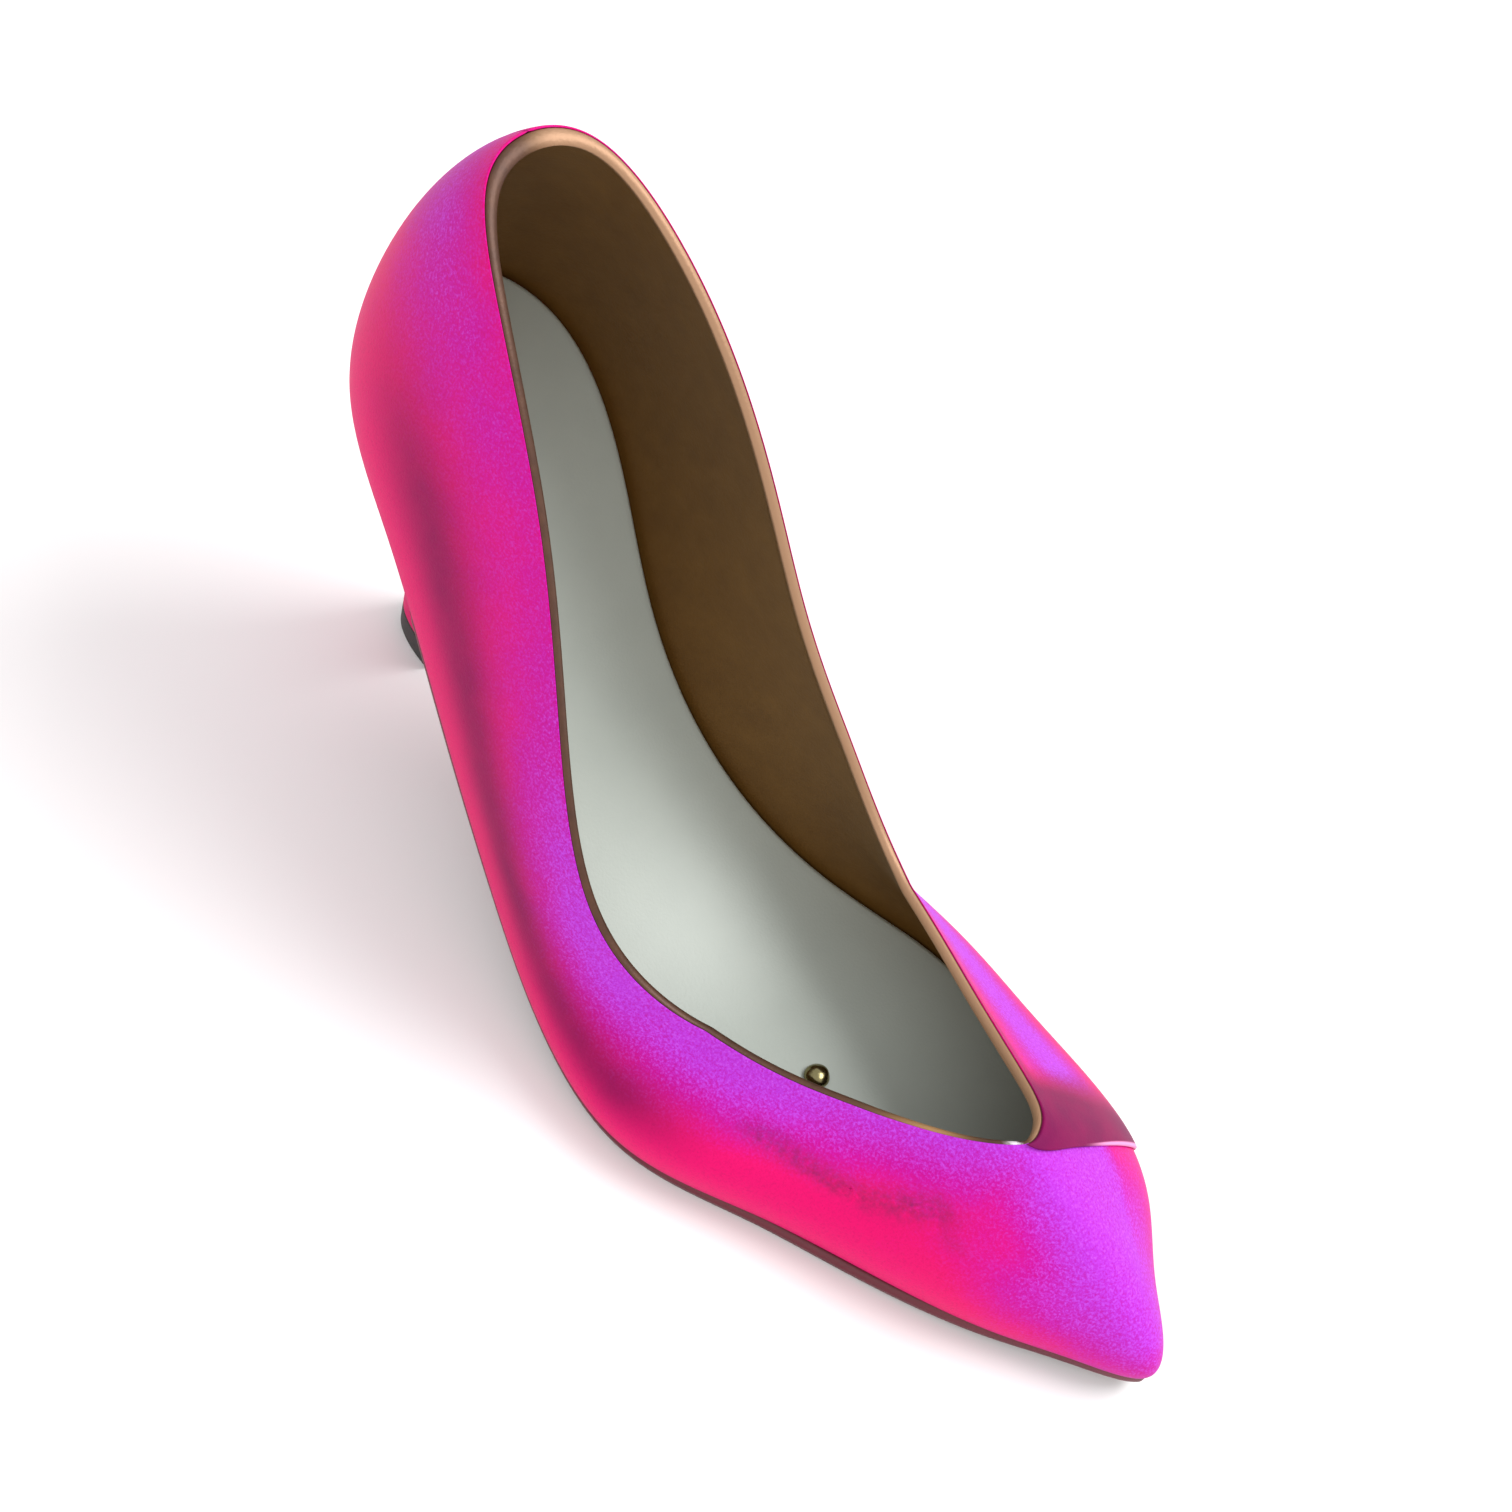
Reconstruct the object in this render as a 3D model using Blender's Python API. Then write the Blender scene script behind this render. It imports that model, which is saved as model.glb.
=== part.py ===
"""Pointed satin pump for the right foot, built as its real pieces.

A hollow upper whose far quarter laps over the vamp, an insole, an outsole, a covered heel
with its top piece, and a small domed stud on the insole. Toe towards +X, lateral side
towards -Y, up is +Z. Everything is worked out in the last's own frame first: along the
foot's bottom line, across it, and up from it.
"""

import math

import bmesh
import bpy
import numpy as np

for old in list(bpy.data.objects):
    bpy.data.objects.remove(old, do_unlink=True)

# Sizes of the last, in metres
LAST_LENGTH = 0.253
BALL_WIDTH = 0.080
BACK_HEIGHT = 0.056
HEEL_RISE = 0.082
TOE_SPRING = 0.004
BALL_REAR = 0.160
BALL_FRONT = 0.190
TOE_SWING = 0.010
WAIST_SWING = 0.004

# Thicknesses and fits, in metres
WALL = 0.0018
LAP = 0.0008
LAP_RUN = 0.040
FIT = 0.0003
SOLE = 0.0030
SHANK_SOLE = 0.0022
INSOLE = 0.0022
SOLE_INSET = 0.0006
TOE_WELT = 0.0010
WELT_AT = 0.80
WELT_SPREAD = 0.030
SHANK_END = 0.110
LEAN_SPREAD = 0.115
TIP_SPREAD = 0.016
SMALL = 0.0002

# Shape of the wall's section, in metres
SIDE_RISE = 0.013
TOE_RISE = 0.0130
TIP_RISE = 0.0090
SIDE_BULGE = 0.0045
TOE_BULGE = 0.0060
TIP_BULGE = 0.0030
SIDE_DROP = 0.013
TOE_DROP = 0.009
SIDE_REACH = 0.25
TOE_REACH = 0.42

# Heel, in metres
BREAST = 0.056
HEEL_TIP_LENGTH = 0.015
HEEL_TIP_WIDTH = 0.014
HEEL_TIP_SETBACK = 0.022
TOP_PIECE = 0.0055
STUD_RADIUS = 0.0025
STUD_HEIGHT = 0.0018
STUD_ALONG = 0.173
STUD_ACROSS = -0.002

# Grid counts
AROUND = 120
UP_ROWS = 12

# Columns: feather along, feather across, collar along, collar across, collar height.
# Along is a share of LAST_LENGTH, across of BALL_WIDTH, height of BACK_HEIGHT.
BACK = (0.000, 0.000, 0.012, 0.000, 1.000)
LATERAL = (
    (0.016, 0.150, 0.024, 0.138, 0.990),
    (0.065, 0.281, 0.073, 0.231, 0.945),
    (0.161, 0.331, 0.165, 0.288, 0.850),
    (0.297, 0.344, 0.294, 0.345, 0.735),
    (0.430, 0.400, 0.440, 0.403, 0.625),
    (0.547, 0.485, 0.565, 0.378, 0.525),
    (0.648, 0.502, 0.664, 0.298, 0.487),
    (0.741, 0.380, 0.733, 0.204, 0.505),
    (0.828, 0.276, 0.788, 0.126, 0.560),
    (0.905, 0.182, 0.820, 0.074, 0.610),
    (0.962, 0.090, 0.835, 0.037, 0.632),
)
TIP = (1.000, 0.000, 0.840, -0.004, 0.636)
MEDIAL = (
    (0.016, 0.150, 0.024, 0.138, 0.990),
    (0.065, 0.275, 0.073, 0.225, 0.955),
    (0.161, 0.319, 0.165, 0.281, 0.880),
    (0.297, 0.288, 0.294, 0.320, 0.790),
    (0.436, 0.300, 0.438, 0.355, 0.685),
    (0.554, 0.375, 0.562, 0.334, 0.585),
    (0.658, 0.462, 0.662, 0.271, 0.555),
    (0.748, 0.450, 0.732, 0.202, 0.560),
    (0.828, 0.408, 0.788, 0.136, 0.595),
    (0.905, 0.304, 0.820, 0.087, 0.625),
    (0.962, 0.136, 0.835, 0.042, 0.634),
)
# The lap's seam: its row in MEDIAL at the feather line and the share of the way from there to
# the next row, the same at the collar from the last LATERAL row to the tip, and how it leans
LAP_ROW = 8
LAP_FOOT = 0.4
LAP_END = 0.5
LAP_LEAN = 0.35
LAP_CURVE = 6.0


def smooth(x):
    """Smooth step from 0 to 1 as x goes from 0 to 1"""
    x = np.clip(x, 0.0, 1.0)
    return x * x * (3.0 - 2.0 * x)


def closed_spline(knots, values, period):
    """Periodic cubic spline through the values at the knots, as a function"""
    count = len(knots)
    gaps = np.diff(np.append(knots, knots[0] + period))
    rise = (np.roll(values, -1, axis=0) - values) / gaps[:, None]
    rows = np.zeros((count, count))
    for i in range(count):
        rows[i, i - 1] += gaps[i - 1]
        rows[i, i] += 2.0 * (gaps[i - 1] + gaps[i])
        rows[i, (i + 1) % count] += gaps[i]
    bend = np.linalg.solve(rows, 6.0 * (rise - np.roll(rise, 1, axis=0)))

    def at(where):
        where = knots[0] + np.mod(where - knots[0], period)
        i = np.clip(np.searchsorted(knots, where, side="right") - 1, 0, count - 1)
        j = (i + 1) % count
        gap = gaps[i][..., None]
        b = (where - knots[i])[..., None] / gap
        a = 1.0 - b
        cubic = (a**3 - a) * bend[i] + (b**3 - b) * bend[j]
        return a * values[i] + b * values[j] + cubic * gap**2 / 6.0

    return at


# Bottom line of the last: height above the floor against length along it
run = np.linspace(-0.04, 1.06, 551) * LAST_LENGTH
back = np.clip((BALL_REAR - run) / BALL_REAR, 0.0, 1.06)
ahead = np.clip((run - BALL_FRONT) / (LAST_LENGTH - BALL_FRONT), 0.0, None)
lift = SOLE + FIT + TOE_SPRING * ahead**2
lift = lift + HEEL_RISE * (0.68 * back**2 * (3.0 - 2.0 * back) + 0.32 * back**2)
slope = np.gradient(lift, run)
step = np.sqrt(1.0 - slope**2)
reach = np.append(0.0, np.cumsum((step[1:] + step[:-1]) / 2.0 * np.diff(run)))
tilt = np.arcsin(slope)


def place(local):
    """World position of points given as along, across and up in the last's frame"""
    along, across, up = local[..., 0], local[..., 1], local[..., 2]
    turn = np.interp(along, run, tilt)
    x = np.interp(along, run, reach) - up * np.sin(turn)
    z = np.interp(along, run, lift) + up * np.cos(turn)
    return np.stack([x, across, z], axis=-1)


def swing(along):
    """Sideways bend of the last's middle line: the toe to the medial side, the waist back"""
    share = along / LAST_LENGTH
    toe = np.clip((share - 0.55) / 0.45, 0.0, 1.2) ** 1.6
    waist = np.exp(-(((share - 0.35) / 0.18) ** 2))
    return TOE_SWING * toe - WAIST_SWING * waist


# Sections in order round the shoe: back, lateral side, tip, medial side
shares = [(BACK, 1.0)] + [(row, -1.0) for row in LATERAL]
shares += [(TIP, 1.0)] + [(row, 1.0) for row in reversed(MEDIAL)]
feather_rows = np.array([(r[0] * LAST_LENGTH, s * r[1] * BALL_WIDTH) for r, s in shares])
collar_rows = np.array(
    [(r[2] * LAST_LENGTH, s * r[3] * BALL_WIDTH, r[4] * BACK_HEIGHT) for r, s in shares]
)
feather_rows[:, 1] += swing(feather_rows[:, 0])
collar_rows[:, 1] += swing(collar_rows[:, 0])
chords = np.linalg.norm(np.roll(feather_rows, -1, axis=0) - feather_rows, axis=1)
knots = np.append(0.0, np.cumsum(chords)[:-1])
PERIOD = float(chords.sum())
feather_at = closed_spline(knots, feather_rows, PERIOD)
collar_at = closed_spline(knots, collar_rows, PERIOD)
tip_row = 1 + len(LATERAL)
lap_knot = tip_row + len(MEDIAL) - LAP_ROW
LAP_AT = knots[lap_knot] + LAP_FOOT * (knots[lap_knot - 1] - knots[lap_knot])
LAP_TOP = knots[tip_row - 1] + LAP_END * (knots[tip_row] - knots[tip_row - 1])


def outward(where):
    """Unit normal of the feather line in plan, pointing out of the shoe"""
    way = feather_at(where + SMALL) - feather_at(where - SMALL)
    way = way / np.linalg.norm(way, axis=-1, keepdims=True)
    return np.stack([way[..., 1], -way[..., 0]], axis=-1)


def wall_point(where, up):
    """Point of the upper's outer face: a cubic from the feather line up to the collar"""
    foot = feather_at(where)
    top = collar_at(where)
    out = outward(where)
    toe = smooth((foot[..., 0] / LAST_LENGTH - 0.66) / 0.34)[..., None]
    nose = smooth((foot[..., 0] / LAST_LENGTH - 0.86) / 0.14)[..., None]
    rise = SIDE_RISE + (TOE_RISE - SIDE_RISE) * toe + (TIP_RISE - TOE_RISE) * nose
    bulge = SIDE_BULGE + (TOE_BULGE - SIDE_BULGE) * toe + (TIP_BULGE - TOE_BULGE) * nose
    drop = SIDE_DROP + (TOE_DROP - SIDE_DROP) * toe
    pull = SIDE_REACH + (TOE_REACH - SIDE_REACH) * toe
    level = np.zeros_like(rise)
    p0 = np.concatenate([foot, level], axis=-1)
    p1 = np.concatenate([foot + out * bulge, rise], axis=-1)
    lean = top[..., :2] + pull * (foot - top[..., :2]) + out * bulge * 0.7
    p2 = np.concatenate([lean, top[..., 2:] - drop], axis=-1)
    v = up[..., None]
    w = 1.0 - v
    return w**3 * p0 + 3.0 * w**2 * v * p1 + 3.0 * w * v**2 * p2 + v**3 * top


def wall_normal(where, up):
    """Unit normal of the outer face, level along the feather line"""
    along = wall_point(where + 2.0 * SMALL, up) - wall_point(where - 2.0 * SMALL, up)
    low = np.clip(up - 0.01, 0.0, 1.0)
    high = np.clip(up + 0.01, 0.0, 1.0)
    climb = wall_point(where, high) - wall_point(where, low)
    normal = np.cross(along, climb)
    normal[..., 2] *= smooth(up / 0.2)
    return normal / np.linalg.norm(normal, axis=-1, keepdims=True)


def make_object(name, points, faces, material):
    """Mesh object from points and faces, with its faces turned outwards"""
    mesh = bpy.data.meshes.new(name)
    mesh.from_pydata([tuple(p) for p in points.tolist()], [], faces)
    work = bmesh.new()
    work.from_mesh(mesh)
    bmesh.ops.recalc_face_normals(work, faces=work.faces)
    bmesh.ops.triangulate(work, faces=work.faces)
    work.to_mesh(mesh)
    work.free()
    mesh.materials.append(material)
    made = bpy.data.objects.new(name, mesh)
    bpy.context.scene.collection.objects.link(made)
    return made


def tube_faces(rings, around, closed):
    """Quads between rings of points, each ring closed; the rings close up if asked"""
    faces = []
    for i in range(rings if closed else rings - 1):
        for j in range(around):
            a = i * around + j
            b = i * around + (j + 1) % around
            c = ((i + 1) % rings) * around + (j + 1) % around
            d = ((i + 1) % rings) * around + j
            faces.append((a, b, c, d))
    return faces


def principled(name, colour, metallic, roughness):
    """Plain Principled material"""
    material = bpy.data.materials.new(name)
    material.use_nodes = True
    shader = material.node_tree.nodes["Principled BSDF"]
    shader.inputs["Base Color"].default_value = (*colour, 1.0)
    shader.inputs["Metallic"].default_value = metallic
    shader.inputs["Roughness"].default_value = roughness
    return material


satin = principled("upper_satin", (0.75, 0.04, 0.42), 0.0, 0.4)
heel_satin = principled("heel_satin", (0.70, 0.04, 0.38), 0.0, 0.4)
sole_leather = principled("sole_leather", (0.35, 0.05, 0.08), 0.0, 0.5)
pale_leather = principled("insole_leather", (0.80, 0.80, 0.76), 0.0, 0.5)
rubber = principled("top_piece_rubber", (0.05, 0.04, 0.04), 0.0, 0.6)
bronze = principled("stud_bronze", (0.45, 0.36, 0.20), 1.0, 0.3)


def upper_points():
    """Rings of the upper, each running up the outside, over the rim and down the inside"""
    fine = np.linspace(SMALL, PERIOD - SMALL, 2001)
    from_tip = np.mod(LAP_AT + fine - knots[tip_row] + PERIOD / 2.0, PERIOD) - PERIOD / 2.0
    crowd = np.cumsum(1.0 + 3.5 * np.exp(-((from_tip / TIP_SPREAD) ** 2)))
    crowd = (crowd - crowd[0]) / (crowd[-1] - crowd[0])
    columns = LAP_AT + np.interp(np.linspace(0.0, 1.0, AROUND), crowd, fine)
    rows = np.linspace(0.0, 1.0, UP_ROWS + 1)
    column, up = np.meshgrid(columns, rows, indexing="ij")
    off = column - LAP_AT
    near = np.minimum(off, PERIOD - off)
    pull = np.cos(np.clip(near / LEAN_SPREAD, 0.0, 1.0) * math.pi / 2.0) ** 2
    lean = LAP_LEAN * up + (1.0 - LAP_LEAN) * up**LAP_CURVE
    where = column - (LAP_AT - LAP_TOP) * lean * pull
    base = wall_point(where, up)
    normal = wall_normal(where, up)
    lap = LAP * (1.0 - smooth(off / LAP_RUN))
    lap = np.where(off < PERIOD / 2.0, lap, 0.0)[..., None]
    outer = base + normal * lap
    inner = base - normal * WALL
    return np.concatenate([outer, inner[:, ::-1]], axis=1)


upper = upper_points()
upper_ring = upper.shape[1]
upper_faces = tube_faces(AROUND, upper_ring, True)


def sides(offset):
    """Feather line moved outwards in plan: lateral and medial edges, each heel to toe"""
    where = np.linspace(0.0, PERIOD, 1441)[:-1]
    line = feather_at(where) + outward(where) * offset
    heel, toe = int(line[:, 0].argmin()), int(line[:, 0].argmax())
    line = np.roll(line, -heel, axis=0)
    toe = (toe - heel) % len(line)
    return line[: toe + 1], np.vstack([line[toe:], line[:1]])[::-1]


def plate(lateral, medial, stations, low, high):
    """Closed plate between two edges: rings of points across it at each station"""
    spread = np.linspace(0.0, 1.0, 5)
    near = np.interp(stations, lateral[:, 0], lateral[:, 1])[:, None]
    far = np.interp(stations, medial[:, 0], medial[:, 1])[:, None]
    across = near + (far - near) * spread
    along = np.repeat(stations[:, None], 5, axis=1)
    top = np.stack([along, across, np.broadcast_to(high[:, None], across.shape)], axis=-1)
    base = np.stack([along, across, np.broadcast_to(low[:, None], across.shape)], axis=-1)
    return np.concatenate([top, base[:, ::-1]], axis=1)


def plate_faces(rings):
    """Faces of a plate: its long tube of quads and a cap at each end"""
    faces = tube_faces(rings, 10, False)
    for first in (0, (rings - 1) * 10):
        for k in range(4):
            faces.append((first + k, first + k + 1, first + 8 - k, first + 9 - k))
    return faces


# Insole: fills the upper's inside at its foot, clear of the wall all round
lateral_in, medial_in = sides(-(WALL + FIT))
span = np.linspace(0.0, math.pi, 49)
first, last = lateral_in[0, 0] + SMALL, lateral_in[-1, 0] - SMALL
stations = first + (last - first) * (1.0 - np.cos(span)) / 2.0
floor = np.full(len(stations), FIT)
insole = plate(lateral_in, medial_in, stations, floor, floor + INSOLE)
insole_faces = plate_faces(len(stations))

# Outsole: from the heel breast to the tip, thinner under the shank
lateral_out, medial_out = sides(-SOLE_INSET)
swell = np.exp(-(((lateral_out[:, 0] - WELT_AT * LAST_LENGTH) / WELT_SPREAD) ** 2))
lateral_out = lateral_out.copy()
lateral_out[:, 1] -= (SOLE_INSET + TOE_WELT) * swell
span = np.linspace(0.0, math.pi / 2.0, 45)
last = lateral_out[-1, 0] - SMALL
stations = BREAST + (last - BREAST) * np.sin(span)
ahead = smooth((stations - SHANK_END) / (BALL_REAR - SHANK_END))
thick = SHANK_SOLE + (SOLE - SHANK_SOLE) * ahead
outsole = plate(lateral_out, medial_out, stations, -FIT - thick, np.full(len(stations), -FIT))
outsole_faces = plate_faces(len(stations))

# Heel: rings from the seat down to the tip, the back part of each ring round, its front flat
ROUND_POINTS = 36
FRONT_POINTS = 8
lateral_seat = lateral_out[lateral_out[:, 0] < BREAST - FIT]
medial_seat = medial_out[medial_out[:, 0] < BREAST - FIT]
seat = np.vstack([lateral_seat[::-1], medial_seat[1:]])
length = np.append(0.0, np.cumsum(np.linalg.norm(np.diff(seat, axis=0), axis=1)))
picks = np.linspace(0.0, length[-1], ROUND_POINTS)
seat = np.stack([np.interp(picks, length, seat[:, k]) for k in (0, 1)], axis=-1)
share = np.linspace(0.0, 1.0, FRONT_POINTS + 2)[1:-1, None]
front = seat[-1] + (seat[0] - seat[-1]) * share
ring = np.vstack([seat, front])
seat_ring = place(np.column_stack([ring, np.full(len(ring), -FIT)]))
angle = np.linspace(0.0, math.pi, ROUND_POINTS)
half = HEEL_TIP_WIDTH / 2.0
tip_front = float(seat_ring[:, 0].min()) + HEEL_TIP_SETBACK + HEEL_TIP_LENGTH * 0.5
round_x = tip_front - HEEL_TIP_LENGTH * np.sin(angle) ** 0.85
round_y = -half * np.sign(np.cos(angle)) * np.abs(np.cos(angle)) ** 0.85
tip_back = np.column_stack([round_x, round_y])
tip_line = tip_back[-1] + (tip_back[0] - tip_back[-1]) * share
tip_ring = np.vstack([tip_back, tip_line])
down = np.linspace(0.0, 1.0, 17)[:, None, None]
narrow = 1.0 - (1.0 - down) ** 2.5
plan = seat_ring[None, :, :2] + (tip_ring[None] - seat_ring[None, :, :2]) * narrow
height = seat_ring[None, :, 2:] * (1.0 - down) + (TOP_PIECE + FIT) * down
heel = np.concatenate([plan, height], axis=-1)
heel_ring = ROUND_POINTS + FRONT_POINTS


def ringed_faces(rings, around):
    """Quads between rings with a fan cap on the first and the last one"""
    faces = tube_faces(rings, around, False)
    faces.append(tuple(range(around)))
    faces.append(tuple(range((rings - 1) * around, rings * around)))
    return faces


piece = np.stack([np.column_stack([tip_ring, np.full(heel_ring, z)]) for z in (TOP_PIECE, 0.0)])

# Stud: a low dome turned about the insole's own normal
turns = np.linspace(0.0, 2.0 * math.pi, 25)[:-1]
levels = np.linspace(0.0, 1.0, 7)[:-1]
dome = []
for level in levels:
    radius = STUD_RADIUS * math.cos(level * math.pi / 2.0)
    rise = STUD_HEIGHT * math.sin(level * math.pi / 2.0)
    ring_x = STUD_ALONG + radius * np.cos(turns)
    ring_y = STUD_ACROSS + radius * np.sin(turns)
    ring_z = np.full(len(turns), FIT + INSOLE + FIT + rise)
    dome.append(np.column_stack([ring_x, ring_y, ring_z]))
dome = np.stack(dome)

# Every piece in world space, moved so that the whole stands on Z = 0 about the origin
pieces = {
    "upper": (place(upper), upper_faces, satin),
    "insole": (place(insole), insole_faces, pale_leather),
    "outsole": (place(outsole), outsole_faces, sole_leather),
    "heel": (heel, ringed_faces(17, heel_ring), heel_satin),
    "top_piece": (piece, ringed_faces(2, heel_ring), rubber),
    "stud": (place(dome), ringed_faces(len(levels), len(turns)), bronze),
}
everything = np.vstack([grid.reshape(-1, 3) for grid, _, _ in pieces.values()])
middle = (everything.min(axis=0) + everything.max(axis=0)) / 2.0
middle[2] = 0.0
for name, (grid, faces, material) in pieces.items():
    make_object(name, grid.reshape(-1, 3) - middle, faces, material)
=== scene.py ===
"""The looks of a pointed satin pump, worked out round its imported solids.

One right shoe: a satin vamp, a far quarter that laps over it, a bronze leather lining, a pale
insole, a thin outsole, a covered heel with its top piece, and a small stud. The last's own
frame comes first: along the foot's bottom line, across it, and up from it, in metres.
"""
import math

import bmesh
import bpy
import numpy as np
from mathutils import Matrix, Vector


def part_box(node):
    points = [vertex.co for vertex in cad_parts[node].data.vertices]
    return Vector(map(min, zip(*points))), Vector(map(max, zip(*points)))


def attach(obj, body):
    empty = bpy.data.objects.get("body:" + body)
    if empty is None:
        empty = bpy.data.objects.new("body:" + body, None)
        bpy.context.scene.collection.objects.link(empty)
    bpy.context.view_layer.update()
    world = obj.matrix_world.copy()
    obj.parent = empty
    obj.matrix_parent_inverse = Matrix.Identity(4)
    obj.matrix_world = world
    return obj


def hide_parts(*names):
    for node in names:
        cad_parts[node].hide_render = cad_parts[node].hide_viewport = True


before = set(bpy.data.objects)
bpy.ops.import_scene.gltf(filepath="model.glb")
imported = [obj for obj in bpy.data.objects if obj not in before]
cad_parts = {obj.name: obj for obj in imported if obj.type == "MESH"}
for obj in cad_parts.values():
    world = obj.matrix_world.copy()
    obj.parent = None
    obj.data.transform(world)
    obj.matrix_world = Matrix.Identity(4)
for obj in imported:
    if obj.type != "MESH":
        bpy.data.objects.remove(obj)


def write_size():
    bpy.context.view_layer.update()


write_size()

# Sizes of the last, as the solids have them
LAST_LENGTH = 0.253
BALL_WIDTH = 0.080
BACK_HEIGHT = 0.056
HEEL_RISE = 0.082
TOE_SPRING = 0.004
BALL_REAR = 0.160
BALL_FRONT = 0.190
TOE_SWING = 0.010
WAIST_SWING = 0.004
WALL = 0.0018
LAP = 0.0008
LAP_RUN = 0.040
FIT = 0.0003
SOLE = 0.0030
SHANK_SOLE = 0.0022
INSOLE = 0.0022
SOLE_INSET = 0.0006
TOE_WELT = 0.0010
WELT_AT = 0.80
WELT_SPREAD = 0.030
SHANK_END = 0.110
LEAN_SPREAD = 0.115
TIP_SPREAD = 0.016
SMALL = 0.0002
SIDE_RISE = 0.013
TOE_RISE = 0.0130
TIP_RISE = 0.0090
SIDE_BULGE = 0.0045
TOE_BULGE = 0.0060
TIP_BULGE = 0.0030
SIDE_DROP = 0.013
TOE_DROP = 0.009
SIDE_REACH = 0.25
TOE_REACH = 0.42
BREAST = 0.056
HEEL_TIP_LENGTH = 0.015
HEEL_TIP_WIDTH = 0.014
HEEL_TIP_SETBACK = 0.022
TOP_PIECE = 0.0055
STUD_RADIUS = 0.0025
STUD_HEIGHT = 0.0018
STUD_ALONG = 0.173
STUD_ACROSS = -0.002

# Satin and lining: the cloth, its folded edge, what the vamp goes on under the quarter, the
# closely set columns at the quarter's fold, the lining's gap and its thicker rolled rim
SATIN = 0.00065
SATIN_FOLD = 0.0003
EDGE_ROUND = 0.0004
UNDERLAP = 0.0030
FOLD_RUN = 0.0024
LINING_GAP = 0.00004
LINING_ROLL = 0.0004

# Rounding of the leather plates, of the heel's lower edge and of its top piece
INSOLE_ROUND = 0.0007
SOLE_ROUND = 0.0006
PLATE_END = 0.0001
HEEL_TURN = 0.0003
HEEL_SEAM = 0.00025
TIP_ROUND = 0.0005
STUD_GROOVE = 0.00012

# Widths over which near and far side blend, for colours and for creases, and how near two
# points of a mesh lie to be one
SIDE_BLEND = 0.010
CREASE_BLEND = 0.004
WELD = 2e-6

# Columns: feather along, feather across, collar along, collar across, collar height.
# Along is a share of LAST_LENGTH, across of BALL_WIDTH, height of BACK_HEIGHT.
BACK = (0.000, 0.000, 0.012, 0.000, 1.000)
LATERAL = (
    (0.016, 0.150, 0.024, 0.138, 0.990),
    (0.065, 0.281, 0.073, 0.231, 0.945),
    (0.161, 0.331, 0.165, 0.288, 0.850),
    (0.297, 0.344, 0.294, 0.345, 0.735),
    (0.430, 0.400, 0.440, 0.403, 0.625),
    (0.547, 0.485, 0.565, 0.378, 0.525),
    (0.648, 0.502, 0.664, 0.298, 0.487),
    (0.741, 0.380, 0.733, 0.204, 0.505),
    (0.828, 0.276, 0.788, 0.126, 0.560),
    (0.905, 0.182, 0.820, 0.074, 0.610),
    (0.962, 0.090, 0.835, 0.037, 0.632),
)
TIP = (1.000, 0.000, 0.840, -0.004, 0.636)
MEDIAL = (
    (0.016, 0.150, 0.024, 0.138, 0.990),
    (0.065, 0.275, 0.073, 0.225, 0.955),
    (0.161, 0.319, 0.165, 0.281, 0.880),
    (0.297, 0.288, 0.294, 0.320, 0.790),
    (0.436, 0.300, 0.438, 0.355, 0.685),
    (0.554, 0.375, 0.562, 0.334, 0.585),
    (0.658, 0.462, 0.662, 0.271, 0.555),
    (0.748, 0.450, 0.732, 0.202, 0.560),
    (0.828, 0.408, 0.788, 0.136, 0.595),
    (0.905, 0.304, 0.820, 0.087, 0.625),
    (0.962, 0.136, 0.835, 0.042, 0.634),
)
# The lap's seam: its row in MEDIAL at the feather line and the share of the way from there to
# the next row, the same at the collar from the last LATERAL row to the tip, and how it leans
LAP_ROW = 8
LAP_FOOT = 0.4
LAP_END = 0.5
LAP_LEAN = 0.35
LAP_CURVE = 6.0


def smooth(x):
    """Smooth step: 3x^2 - 2x^3 between 0 and 1, flat outside"""
    x = np.clip(x, 0.0, 1.0)
    return x * x * (3.0 - 2.0 * x)


def gauss(x, centre, spread):
    """Bell curve of height 1 about the centre"""
    return np.exp(-(((x - centre) / spread) ** 2))


def rounded(inset, radius):
    """Quarter circle: from 0 at the rim to 1 once the inset reaches the radius"""
    return np.sqrt(np.clip(1.0 - (1.0 - np.clip(inset / radius, 0.0, 1.0)) ** 2, 0.0, 1.0))


def closed_spline(knots, values, period):
    """Periodic cubic spline through the values at the knots: the second derivatives solve the
    usual tridiagonal system, closed round, and each span is the cubic that they give"""
    count = len(knots)
    gaps = np.diff(np.append(knots, knots[0] + period))
    rise = (np.roll(values, -1, axis=0) - values) / gaps[:, None]
    rows = np.zeros((count, count))
    for i in range(count):
        rows[i, i - 1] += gaps[i - 1]
        rows[i, i] += 2.0 * (gaps[i - 1] + gaps[i])
        rows[i, (i + 1) % count] += gaps[i]
    bend = np.linalg.solve(rows, 6.0 * (rise - np.roll(rise, 1, axis=0)))

    def at(where):
        where = knots[0] + np.mod(where - knots[0], period)
        i = np.clip(np.searchsorted(knots, where, side="right") - 1, 0, count - 1)
        j = (i + 1) % count
        gap = gaps[i][..., None]
        b = (where - knots[i])[..., None] / gap
        a = 1.0 - b
        cubic = (a**3 - a) * bend[i] + (b**3 - b) * bend[j]
        return a * values[i] + b * values[j] + cubic * gap**2 / 6.0

    return at


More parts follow.
